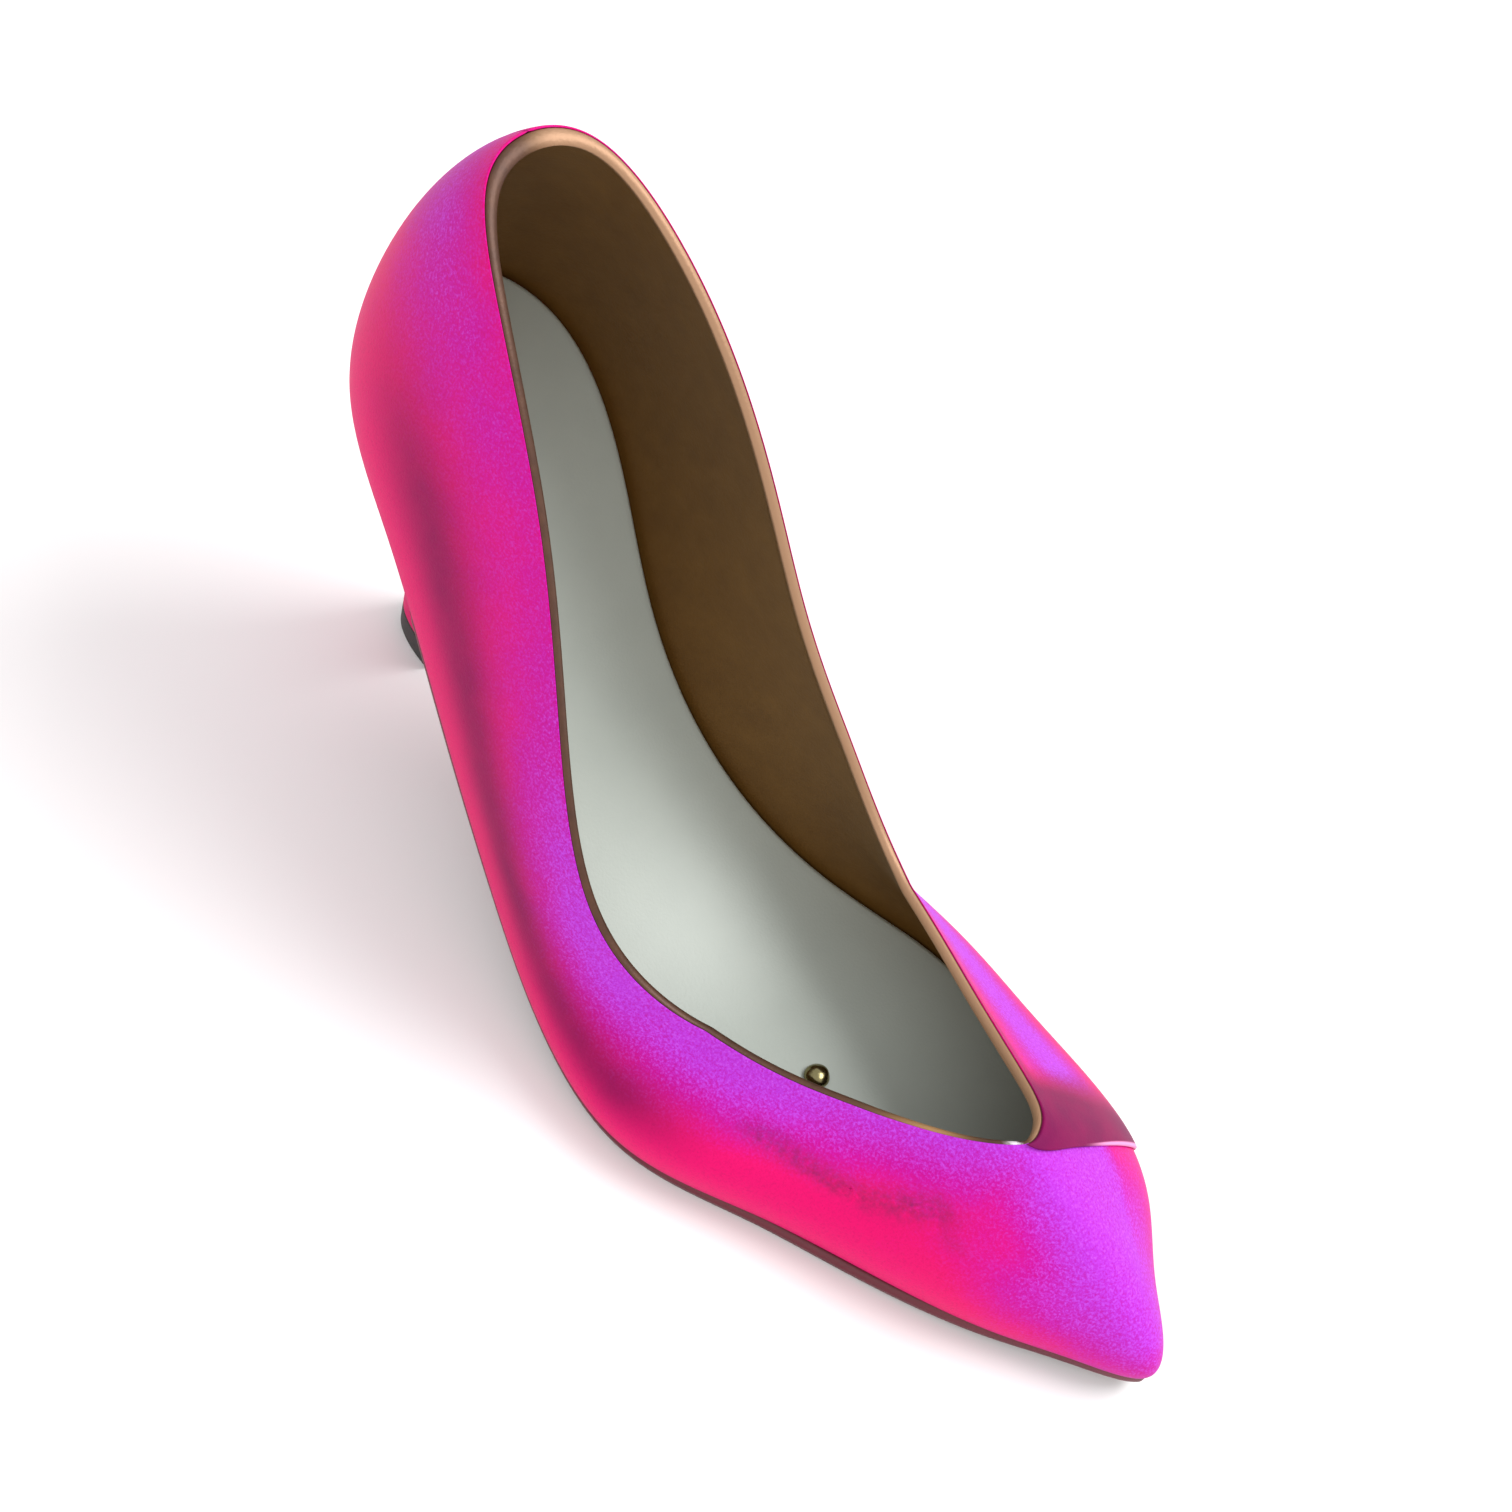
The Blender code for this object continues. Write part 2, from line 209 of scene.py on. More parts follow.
# Bottom line of the last: height above the floor against length along it
run = np.linspace(-0.04, 1.06, 551) * LAST_LENGTH
back = np.clip((BALL_REAR - run) / BALL_REAR, 0.0, 1.06)
ahead = np.clip((run - BALL_FRONT) / (LAST_LENGTH - BALL_FRONT), 0.0, None)
lift = SOLE + FIT + TOE_SPRING * ahead**2
lift = lift + HEEL_RISE * (0.68 * back**2 * (3.0 - 2.0 * back) + 0.32 * back**2)
slope = np.gradient(lift, run)
step = np.sqrt(1.0 - slope**2)
reach = np.append(0.0, np.cumsum((step[1:] + step[:-1]) / 2.0 * np.diff(run)))
tilt = np.arcsin(slope)


def place(local):
    """World position of points along, across and up in the last's frame: the foot of the
    point rides on the bottom line, and its height stands square to that line"""
    along, across, up = local[..., 0], local[..., 1], local[..., 2]
    turn = np.interp(along, run, tilt)
    x = np.interp(along, run, reach) - up * np.sin(turn)
    z = np.interp(along, run, lift) + up * np.cos(turn)
    return np.stack([x, across, z], axis=-1)


def swing(along):
    """Sideways bend of the last's middle line: the toe to the medial side, the waist back"""
    share = along / LAST_LENGTH
    toe = np.clip((share - 0.55) / 0.45, 0.0, 1.2) ** 1.6
    waist = gauss(share, 0.35, 0.18)
    return TOE_SWING * toe - WAIST_SWING * waist


shares = [(BACK, 1.0)] + [(row, -1.0) for row in LATERAL]
shares += [(TIP, 1.0)] + [(row, 1.0) for row in reversed(MEDIAL)]
feather_rows = np.array([(r[0] * LAST_LENGTH, s * r[1] * BALL_WIDTH) for r, s in shares])
collar_rows = np.array(
    [(r[2] * LAST_LENGTH, s * r[3] * BALL_WIDTH, r[4] * BACK_HEIGHT) for r, s in shares]
)
feather_rows[:, 1] += swing(feather_rows[:, 0])
collar_rows[:, 1] += swing(collar_rows[:, 0])
chords = np.linalg.norm(np.roll(feather_rows, -1, axis=0) - feather_rows, axis=1)
knots = np.append(0.0, np.cumsum(chords)[:-1])
PERIOD = float(chords.sum())
feather_at = closed_spline(knots, feather_rows, PERIOD)
collar_at = closed_spline(knots, collar_rows, PERIOD)
tip_row = 1 + len(LATERAL)
TIP_AT = knots[tip_row]
lap_knot = tip_row + len(MEDIAL) - LAP_ROW
LAP_AT = knots[lap_knot] + LAP_FOOT * (knots[lap_knot - 1] - knots[lap_knot])
LAP_TOP = knots[tip_row - 1] + LAP_END * (knots[tip_row] - knots[tip_row - 1])


def outward(where):
    """Unit normal of the feather line in plan: its tangent turned a quarter outwards"""
    way = feather_at(where + SMALL) - feather_at(where - SMALL)
    way = way / np.linalg.norm(way, axis=-1, keepdims=True)
    return np.stack([way[..., 1], -way[..., 0]], axis=-1)


def wall_point(where, up):
    """Point of the upper's outer face: a cubic curve from the feather line up to the collar,
    whose two handles set the bulge low down and the lean under the topline"""
    foot = feather_at(where)
    top = collar_at(where)
    out = outward(where)
    toe = smooth((foot[..., 0] / LAST_LENGTH - 0.66) / 0.34)[..., None]
    nose = smooth((foot[..., 0] / LAST_LENGTH - 0.86) / 0.14)[..., None]
    rise = SIDE_RISE + (TOE_RISE - SIDE_RISE) * toe + (TIP_RISE - TOE_RISE) * nose
    bulge = SIDE_BULGE + (TOE_BULGE - SIDE_BULGE) * toe + (TIP_BULGE - TOE_BULGE) * nose
    drop = SIDE_DROP + (TOE_DROP - SIDE_DROP) * toe
    pull = SIDE_REACH + (TOE_REACH - SIDE_REACH) * toe
    p0 = np.concatenate([foot, np.zeros_like(rise)], axis=-1)
    p1 = np.concatenate([foot + out * bulge, rise], axis=-1)
    lean = top[..., :2] + pull * (foot - top[..., :2]) + out * bulge * 0.7
    p2 = np.concatenate([lean, top[..., 2:] - drop], axis=-1)
    v = up[..., None]
    w = 1.0 - v
    return w**3 * p0 + 3.0 * w**2 * v * p1 + 3.0 * w * v**2 * p2 + v**3 * top


def wall_normal(where, up):
    """Unit normal of the outer face: across the two tangents, level along the feather line"""
    along = wall_point(where + 2.0 * SMALL, up) - wall_point(where - 2.0 * SMALL, up)
    low = np.clip(up - 0.01, 0.0, 1.0)
    high = np.clip(up + 0.01, 0.0, 1.0)
    climb = wall_point(where, high) - wall_point(where, low)
    normal = np.cross(along, climb)
    normal[..., 2] *= smooth(up / 0.2)
    return normal / np.linalg.norm(normal, axis=-1, keepdims=True)


def sides(offset):
    """Feather line moved outwards in plan: lateral and medial edges, each heel to toe"""
    where = np.linspace(0.0, PERIOD, 2881)[:-1]
    line = feather_at(where) + outward(where) * offset
    heel, toe = int(line[:, 0].argmin()), int(line[:, 0].argmax())
    line = np.roll(line, -heel, axis=0)
    toe = (toe - heel) % len(line)
    return line[: toe + 1], np.vstack([line[toe:], line[:1]])[::-1]


# The solids stand about the origin: the shift from the last's own frame comes from the frame
rounds, rises = np.meshgrid(np.linspace(0.0, PERIOD, 1500), np.linspace(0.0, 0.3, 31))
hull = place(wall_point(rounds, rises))
insole_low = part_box("insole")[0]
lateral_in, medial_in = sides(-(WALL + FIT))
upper_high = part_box("upper")[1]
SHIFT = np.array(
    [upper_high.x - hull[..., 0].max(), insole_low.y - lateral_in[:, 1].min(), 0.0]
)


def grid_piece(name, grid, wrap_u, wrap_v, material, values=None):
    """Mesh of a grid of points in the world frame: a quad between each four neighbours, with
    the rows or columns closed round where asked, and doubled points at poles made one"""
    rows, cols = grid.shape[:2]
    i, j = np.meshgrid(
        np.arange(rows if wrap_u else rows - 1),
        np.arange(cols if wrap_v else cols - 1),
        indexing="ij",
    )
    k, m = (i + 1) % rows, (j + 1) % cols
    quads = np.stack([i * cols + j, k * cols + j, k * cols + m, i * cols + m], axis=-1)
    quads = quads.reshape(-1, 4)
    mesh = bpy.data.meshes.new(name)
    mesh.vertices.add(rows * cols)
    mesh.vertices.foreach_set("co", (grid + SHIFT).astype(np.float32).ravel())
    mesh.loops.add(len(quads) * 4)
    mesh.loops.foreach_set("vertex_index", quads.astype(np.int32).ravel())
    mesh.polygons.add(len(quads))
    mesh.polygons.foreach_set("loop_start", np.arange(len(quads), dtype=np.int32) * 4)
    mesh.update(calc_edges=True)
    for key, field in (values or {}).items():
        attribute = mesh.attributes.new(key, "FLOAT", "POINT")
        attribute.data.foreach_set("value", field.astype(np.float32).ravel())
    work = bmesh.new()
    work.from_mesh(mesh)
    bmesh.ops.remove_doubles(work, verts=work.verts, dist=WELD)
    bmesh.ops.recalc_face_normals(work, faces=work.faces)
    work.to_mesh(mesh)
    work.free()
    mesh.materials.append(material)
    mesh.shade_smooth()
    made = bpy.data.objects.new(name, mesh)
    bpy.context.scene.collection.objects.link(made)
    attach(made, "root")
    return made


class Wire:
    """A shader socket that takes part in Python arithmetic"""

    def __init__(self, finish, socket):
        self.finish = finish
        self.socket = socket

    def maths(self, operation, first, second):
        return self.finish.node("ShaderNodeMath", {"operation": operation}, {0: first, 1: second})

    def __add__(self, other):
        return self.maths("ADD", self, other)

    __radd__ = __add__

    def __sub__(self, other):
        return self.maths("SUBTRACT", self, other)

    def __rsub__(self, other):
        return self.maths("SUBTRACT", other, self)

    def __mul__(self, other):
        return self.maths("MULTIPLY", self, other)

    __rmul__ = __mul__


class Finish:
    """A material, with the one method that makes its nodes"""

    def __init__(self, name, **constants):
        self.material = bpy.data.materials.new(name)
        self.material.use_nodes = True
        self.tree = self.material.node_tree
        self.shader = self.tree.nodes["Principled BSDF"]
        for key, value in constants.items():
            self.shader.inputs[key.replace("_", " ")].default_value = value

    def node(self, kind, settings=None, sockets=None, output=0):
        """Node of this type, with its settings and then its sockets' values or links"""
        made = self.tree.nodes.new(kind)
        for key, value in (settings or {}).items():
            if key == "stops":
                for index, (place_at, colour) in enumerate(value):
                    stops = made.color_ramp.elements
                    stop = stops[index] if index < 2 else stops.new(place_at)
                    stop.position = place_at
                    stop.color = colour
            else:
                setattr(made, key, value)
        for key, value in (sockets or {}).items():
            if isinstance(value, Wire):
                self.tree.links.new(value.socket, made.inputs[key])
            else:
                made.inputs[key].default_value = value
        return Wire(self, made.outputs[output])

    def feed(self, socket, wire):
        """Links a value to one of the shader's own sockets"""
        self.tree.links.new(wire.socket, self.shader.inputs[socket])

    def noise(self, scale, detail=2.0, roughness=0.5):
        """Noise between 0 and 1 on the object's own coordinates, with this many waves a metre"""
        where = self.node("ShaderNodeTexCoord", output="Object")
        return self.node(
            "ShaderNodeTexNoise",
            {},
            {"Vector": where, "Scale": scale, "Detail": detail, "Roughness": roughness},
        )

    def field(self, name):
        """A value stored on the mesh"""
        return self.node("ShaderNodeAttribute", {"attribute_name": name}, output="Fac")

    def mix(self, share, first, second):
        """Colour mixed from two, by share"""
        return self.node(
            "ShaderNodeMix",
            {"data_type": "RGBA", "clamp_factor": True},
            {0: share, 6: first, 7: second},
            output=2,
        )

    def ramp(self, value, stops):
        """Colour read from a ramp of (place, colour) stops"""
        return self.node("ShaderNodeValToRGB", {"stops": stops}, {"Fac": value})

    def spread(self, value, low, high):
        """Value stretched so that low becomes 0 and high 1, held between them"""
        return self.node("ShaderNodeMapRange", {}, {"Value": value, 1: low, 2: high})

    def bump(self, height, distance):
        """Feeds the normal with a bump of this height in metres"""
        made = self.node("ShaderNodeBump", {}, {"Height": height, "Distance": distance})
        self.feed("Normal", made)


# Colours
HOT_PINK = (0.76, 0.001, 0.135, 1.0)
MAGENTA = (0.54, 0.002, 0.31, 1.0)
# Painted sheen: the violet the satin turns where its light reflection is painted
PAINTED_SHEEN_VIOLET = (0.45, 0.030, 0.62, 1.0)
# Painted shade of the satin, also the colour of the weave's dark pits
SHADE_AND_PIT_MAGENTA = (0.16, 0.001, 0.060, 1.0)
# Darker tone along the creases
CREASE_DARK_MAGENTA = (0.13, 0.012, 0.075, 1.0)
# Painted highlight: light flecks on the painted sheen
SHEEN_FLECK_HIGHLIGHT = (0.80, 0.22, 0.95, 1.0)
# Painted highlight along the quarter's folded edge
FOLD_HIGHLIGHT = (0.95, 0.36, 0.66, 1.0)
SHEEN_TINT = (1.0, 0.55, 1.0, 1.0)
BRONZE_LEATHER = (0.21, 0.100, 0.018, 1.0)
BRONZE_SHADE = (0.14, 0.062, 0.010, 1.0)
RAW_EDGE = (0.36, 0.20, 0.11, 1.0)
# Near rim: painted shade in these two browns
RIM_SHADE_DARK = (0.040, 0.014, 0.009, 1.0)
RIM_SHADE_BROWN = (0.12, 0.048, 0.022, 1.0)
# Painted highlight: golden light on the near rim
RIM_GOLD_HIGHLIGHT = (0.55, 0.30, 0.12, 1.0)
GLUE = (0.86, 0.80, 0.86, 1.0)
# Insole colours darkened to their look in the near wall's shadow: painted shade
SOCK_GREY_IN_SHADOW = (0.52, 0.57, 0.52, 1.0)
PALE_SHADE = (0.42, 0.47, 0.43, 1.0)
SOLE_RED = (0.13, 0.008, 0.02, 1.0)
SOLE_SHADE = (0.07, 0.005, 0.012, 1.0)
RUBBER = (0.03, 0.025, 0.025, 1.0)
RUBBER_SHADE = (0.02, 0.02, 0.02, 1.0)
STUD_OLIVE = (0.20, 0.17, 0.07, 1.0)
STUD_LIGHT = (0.34, 0.30, 0.16, 1.0)


def satin_finish(name):
    """Pink satin that turns violet where the painted sheen lies, with a fine weave that has
    painted light flecks on the sheen, and darker patches along the creases where the mesh says so"""
    finish = Finish(name, Roughness=0.55, Specular_IOR_Level=0.18)
    finish.shader.inputs["Specular Tint"].default_value = SHEEN_TINT
    grain = finish.noise(2100.0, 3.0, 0.65)
    cloud = finish.noise(95.0, 3.0, 0.55)
    # The violet field is painted sheen
    sheen = finish.field("violet")
    speckle = 0.85 * (grain - 0.5) * (0.45 + sheen)
    violet = sheen + 0.30 * (cloud - 0.5) + speckle
    colour = finish.ramp(violet, [(0.05, HOT_PINK), (0.95, PAINTED_SHEEN_VIOLET), (0.5, MAGENTA)])
    # Painted shade: the satin darkened where the shade field says
    colour = finish.mix(finish.field("painted_shade") * (0.8 + 0.4 * cloud), colour, SHADE_AND_PIT_MAGENTA)
    pits = finish.spread(grain, 0.52, 0.30)
    colour = finish.mix(0.18 * pits, colour, SHADE_AND_PIT_MAGENTA)
    # Painted highlights: light flecks of the weave on the painted sheen
    colour = finish.mix(0.30 * sheen * finish.spread(grain, 0.50, 0.74), colour, SHEEN_FLECK_HIGHLIGHT)
    # Darker along the creases, mottled by noise
    crease_dark = finish.field("crease_dark") * finish.spread(finish.noise(600.0, 4.0, 0.65), 0.28, 0.72)
    colour = finish.mix(crease_dark, colour, CREASE_DARK_MAGENTA)
    # Painted highlight along the quarter's fold
    colour = finish.mix(finish.field("fold_highlight"), colour, FOLD_HIGHLIGHT)
    finish.feed("Base Color", colour)
    finish.bump(grain, 0.00006)
    return finish.material


def lining_finish():
    """Bronze leather: brown with a metallic sheen, tan along its raw far edge, with painted shade
    darkening the near rim and a painted golden highlight on it, and a few whitish traces of glue
    by the throat"""
    finish = Finish("lining_bronze", Metallic=0.35, Roughness=0.45)
    blotch = finish.noise(160.0, 3.0, 0.55)
    fine = finish.noise(1500.0, 2.0, 0.5)
    colour = finish.mix(blotch, BRONZE_LEATHER, BRONZE_SHADE)
    colour = finish.mix(finish.field("edge"), colour, RAW_EDGE)
    # Painted shade on the near rim
    rim = finish.mix(finish.noise(260.0, 4.0, 0.7), RIM_SHADE_DARK, RIM_SHADE_BROWN)
    colour = finish.mix(finish.field("rim"), colour, rim)
    # Painted highlight: a golden band on the near rim
    colour = finish.mix(finish.field("gold_highlight"), colour, RIM_GOLD_HIGHLIGHT)
    traces = finish.field("glue") * finish.spread(finish.noise(900.0, 3.0, 0.6), 0.42, 0.56)
    colour = finish.mix(traces, colour, GLUE)
    finish.feed("Base Color", colour)
    finish.bump(fine, 0.00005)
    return finish.material


def leather_finish(name, colour, darker, roughness):
    """Smooth leather with faint blotches and a fine grain"""
    finish = Finish(name, Roughness=roughness)
    blotch = finish.noise(90.0, 3.0, 0.5)
    finish.feed("Base Color", finish.mix(0.5 * blotch, colour, darker))
    finish.bump(finish.noise(1700.0, 2.0, 0.5), 0.00004)
    return finish.material


def bronze_finish():
    """Polished dark olive bronze"""
    finish = Finish("stud_bronze", Metallic=1.0, Roughness=0.22)
    finish.feed("Base Color", finish.mix(finish.noise(700.0, 2.0), STUD_OLIVE, STUD_LIGHT))
    return finish.material


vamp_satin = satin_finish("vamp_satin")
heel_satin = satin_finish("heel_satin")
lining_bronze = lining_finish()
# The insole's colours are its look in the near wall's shadow: painted shade
insole_pale = leather_finish("insole_pale", SOCK_GREY_IN_SHADOW, PALE_SHADE, 0.45)
sole_red = leather_finish("sole_red", SOLE_RED, SOLE_SHADE, 0.5)
rubber = leather_finish("top_piece_rubber", RUBBER, RUBBER_SHADE, 0.6)
stud_bronze = bronze_finish()


def round_columns(low, high, count):
    """Distances round the shoe from the lap's seam, crowded where the tip's curve is tight"""
    fine = np.linspace(low, high, 6001)
    away = round_gap(LAP_AT + fine, TIP_AT)
    crowd = np.cumsum(1.0 + 3.0 * gauss(away, 0.0, TIP_SPREAD))
    crowd = (crowd - crowd[0]) / (crowd[-1] - crowd[0])
    return np.interp(np.linspace(0.0, 1.0, count), crowd, fine)


def warped(off, up):
    """Place round the feather line of a column, which leans so that the lap's seam is a column:
    the lean falls off with the squared cosine of the distance from the seam"""
    near = np.minimum(np.abs(off), np.abs(PERIOD - off))
    pull = np.cos(np.clip(near / LEAN_SPREAD, 0.0, 1.0) * math.pi / 2.0) ** 2
    up = np.clip(up, 0.0, 1.0)
    lean = LAP_LEAN * up + (1.0 - LAP_LEAN) * up**LAP_CURVE
    return LAP_AT + off - (LAP_AT - LAP_TOP) * lean * pull


def shell(off, up, outer, inner, ends, relief=None):
    """Closed shell between two heights above the wall's face. Each side is the middle surface
    plus or minus half the thickness, and that half rounds off to nothing as a quarter circle
    within EDGE_ROUND of the shell's top, and of its ends where it has any"""
    column, row = np.meshgrid(off, up, indexing="ij")
    where = warped(column, row)
    base = wall_point(where, row)
    normal = wall_normal(where, np.clip(row, 0.0, 1.0))
    climb = np.linalg.norm(np.diff(base, axis=1), axis=-1)
    to_top = np.concatenate([np.cumsum(climb[:, ::-1], axis=1)[:, ::-1], climb[:, :1] * 0.0], 1)
    inset = np.minimum(to_top, EDGE_ROUND)
    if ends:
        inset = np.minimum(inset, np.minimum(column - off[0], off[-1] - column))
    round_off = rounded(inset, EDGE_ROUND)
    middle = (outer(column, row) + inner(column, row)) / 2.0
    half = (outer(column, row) - inner(column, row)) / 2.0 * round_off
    raised = relief(where, row) if relief else 0.0
    high = base + normal * (middle + half + raised)[..., None]
    low = base + normal * (middle - half)[..., None]
    ring = np.concatenate([high, low[:, ::-1]], axis=1)
    return place(ring), column, row, where


def round_gap(where, place_at):
    """Signed distance round the feather line from a place on it"""
    return np.mod(where - place_at + PERIOD / 2.0, PERIOD) - PERIOD / 2.0


def near_share(foot, blend, centre=0.5):
    """How far a point is on the near side: a smooth step across the last's middle line"""
    return smooth((swing(foot[..., 0]) - foot[..., 1]) / blend + centre)


def both(field):
    """A field of the outer side, carried over to the inner side of a shell"""
    return np.concatenate([field, field[:, ::-1]], axis=1)


# Creases of the near side, with the satin darker along them. Columns: start along, start up,
# end along, end up, half width, depth in metres, how dark. Along is a share of LAST_LENGTH, up of
# the wall.
CREASES = (
    (0.702, 0.67, 0.768, 0.58, 0.065, 0.00045, 0.70),
    (0.740, 0.62, 0.782, 0.55, 0.035, 0.00020, 0.55),
    (0.790, 0.57, 0.852, 0.66, 0.070, 0.00045, 0.70),
    (0.800, 0.55, 0.830, 0.60, 0.030, 0.00015, 0.55),
    (0.850, 0.67, 0.872, 0.52, 0.040, 0.00025, 0.28),
)


def crease_share(row, along, up):
    """How near a point lies to a crease: a bell across the line from its start to its end, in
    shares of the length and the wall, with the length counted three times the wall's scale"""
    a0, u0, a1, u1, wide = row[:5]
    scale = 3.0
    way = np.array([(a1 - a0) * scale, u1 - u0])
    off_along, off_up = (along - a0) * scale, up - u0
    share = np.clip((off_along * way[0] + off_up * way[1]) / way.dot(way), 0.0, 1.0)
    away = np.hypot(off_along - share * way[0], off_up - share * way[1])
    return gauss(away, 0.0, wide)


def crease_height(where, up):
    """Soft troughs of the satin, in metres, each with a low ridge beside it: a bell along the
    crease, less half a bell shifted up the wall"""
    foot = feather_at(where)
    along = foot[..., 0] / LAST_LENGTH
    near = near_share(foot, CREASE_BLEND, 0.0)
    height = np.zeros_like(along)
    for row in CREASES:
        trough = crease_share(row, along, up)
        ridge = crease_share(row, along, up - 1.8 * row[4])
        height = height + row[5] * (0.5 * ridge - trough)
    return height * near


up_rows = np.concatenate(
    [np.linspace(0.0, 0.94, 52), 1.0 - 0.06 * (1.0 - np.linspace(0.0, 1.0, 13)[1:]) ** 1.6]
)
BACK_OFF = PERIOD - LAP_AT


def satin_fields(where, row, column, piece):
    """Painted sheen and shade: how violet, how darkened by painted shade, how darkened along the
    creases and how strong the painted fold highlight is at each point. The vamp has a violet
    sheen band under its topline and over its toe, and painted shade darkens it towards the waist
    and along its lowest edge; the quarter is violet beside its topline and darkened by painted
    shade behind its fold"""
    foot = feather_at(where)
    along = foot[..., 0] / LAST_LENGTH
    near = near_share(foot, SIDE_BLEND)
    from_tip = np.abs(round_gap(where, TIP_AT))
    # Painted sheen: a violet band under the topline and over the toe
    low = 0.34 + 0.14 * smooth((along - 0.60) / 0.25)
    band = smooth((row - low) / 0.62) * (0.45 + 0.55 * smooth((along - 0.20) / 0.30))
    toe_near = smooth((0.056 - 0.012 * smooth((0.5 - row) / 0.4) - from_tip) / 0.060)
    toe_far = smooth((0.085 - from_tip) / 0.02) * smooth((row - 0.10 - 12.0 * from_tip) / 0.30)
    toe = near * toe_near + (1.0 - near) * np.maximum(toe_far, toe_near)
    violet = np.maximum(0.95 * band, toe * (0.70 + 0.30 * smooth((row - 0.05) / 0.25)))
    violet = violet * (1.0 - 0.30 * gauss(along, 0.925, 0.030) * gauss(row, 0.60, 0.14) * near)
    # Painted shade: darker towards the waist and along the lowest edge
    painted_shade = 0.80 * smooth((0.70 - along) / 0.10) * gauss(row, 0.44, 0.20)
    painted_shade = painted_shade + 0.25 * smooth((0.05 - row) / 0.05)
    # Darker along the creases of the near side
    crease_dark = np.zeros_like(violet)
    for crease in CREASES:
        crease_dark = np.maximum(crease_dark, crease[6] * crease_share(crease, along, row) * near)
    fold_highlight = np.zeros_like(violet)
    if piece == "quarter":
        rear = smooth((0.875 - along) / 0.06)
        # The quarter: painted sheen beside its topline, painted shade behind its fold and just
        # under its topline
        violet = gauss(row, 0.70, 0.20) * rear
        painted_shade = 0.95 * (1.0 - rear) * smooth((row - 0.05) / 0.3)
        painted_shade = painted_shade + 0.5 * smooth((row - 0.93) / 0.05) * rear
        crease_dark = np.zeros_like(violet)
        # Painted highlight along the quarter's fold
        fold = smooth((0.0011 - column) / 0.0005)
        fold_highlight = 0.85 * fold * smooth((row - 0.20) / 0.15) * smooth((0.80 - row) / 0.15)
    # Towards the heel the painted sheen and shade fade to one band on both sides
    ahead = smooth(along / 0.16)
    violet = violet * ahead + (1.0 - ahead) * 0.6 * gauss(row, 0.75, 0.25)
    painted_shade = painted_shade * ahead
    fields = {"violet": violet, "painted_shade": painted_shade, "crease_dark": crease_dark, "fold_highlight": fold_highlight}
    return {key: both(field) for key, field in fields.items()}


def satin_back(column, row):
    """Inner side of the satin: it thins to its folded edge just under the rim"""
    return -SATIN + (SATIN - SATIN_FOLD) * smooth((row - 0.93) / 0.05)


def make_vamp():
    """Vamp: from the back seam round the near side and the tip, and under the far quarter"""
    off = round_columns(BACK_OFF, PERIOD + UNDERLAP, 560)
    ring, column, row, where = shell(
        off,
        up_rows,
        lambda c, r: np.zeros_like(c),
        satin_back,
        True,
        crease_height,
    )
    values = satin_fields(where, row, column, "vamp")
    return grid_piece("vamp", ring, False, True, vamp_satin, values)


def make_quarter():
    """Far quarter: from its folded edge on the vamp, along the far side, to the back seam"""
    off = np.append(
        np.linspace(0.0, FOLD_RUN, 12)[:-1], np.linspace(FOLD_RUN, BACK_OFF, 330)
    )

    def outer(c, r):
        return LAP * (1.0 - smooth(c / LAP_RUN))

    def inner(c, r):
        under = 1.0 - smooth((c - 0.0035) / 0.002)
        return satin_back(c, r) * (1.0 - under) + 0.00003 * under

    ring, column, row, where = shell(off, up_rows, outer, inner, True)
    values = satin_fields(where, row, column, "quarter")
    return grid_piece("far_quarter", ring, False, True, vamp_satin, values)


def make_lining():
    """Lining: a closed band inside the satin, standing a little above its folded edge"""
    off = round_columns(0.0, PERIOD, 481)[:-1]
    rows = np.append(up_rows, [1.004, 1.008])
    ring, column, row, where = shell(
        off,
        rows,
        lambda c, r: satin_back(c, r) - LINING_GAP,
        lambda c, r: np.full_like(c, -WALL) - LINING_ROLL * smooth((r - 0.95) / 0.04),
        False,
    )
    foot = feather_at(where)
    along = foot[..., 0] / LAST_LENGTH
    near = near_share(foot, SIDE_BLEND)
    top = smooth((row - 0.985) / 0.008)
    past_throat = round_gap(where, LAP_TOP)
    # The near rim's darker browns are painted shade and its golden band a painted highlight
    values = {
        "edge": both(top * (1.0 - near)),
        "rim": both(smooth((row - 0.975) / 0.010) * near),
        "gold_highlight": both(0.7 * top * near * gauss(along, 0.825, 0.045)),
        "glue": both(smooth((row - 0.96) / 0.02) * gauss(past_throat, -0.007, 0.005)),
    }
    return grid_piece("lining", ring, True, True, lining_bronze, values)


vamp = make_vamp()
make_quarter()
make_lining()
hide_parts("upper")


def pillow(lateral, medial, stations, low, high, round_by, name, material, count=25):
    """Closed plate between two edges in plan, its rim a half ellipse: at each station and each
    share across, the two faces stand the thickness apart and meet at the rim"""
    spread = (1.0 - np.cos(np.linspace(0.0, math.pi, count))) / 2.0
    near = np.interp(stations, lateral[:, 0], lateral[:, 1])[:, None]
    far = np.interp(stations, medial[:, 0], medial[:, 1])[:, None]
    across = near + (far - near) * spread
    along = np.repeat(stations[:, None], count, axis=1)
    inset = np.minimum(across - near, far - across)
    inset = np.minimum(inset, np.minimum(along - stations[0], stations[-1] - along))
    share = rounded(inset, round_by)
    middle = ((low + high) / 2.0)[:, None]
    half = ((high - low) / 2.0)[:, None] * share
    top = place(np.stack([along, across, middle + half], axis=-1))
    base = place(np.stack([along, across, middle - half], axis=-1))
    ring = np.concatenate([top, base[:, ::-1]], axis=1)
    return grid_piece(name, ring, False, True, material)


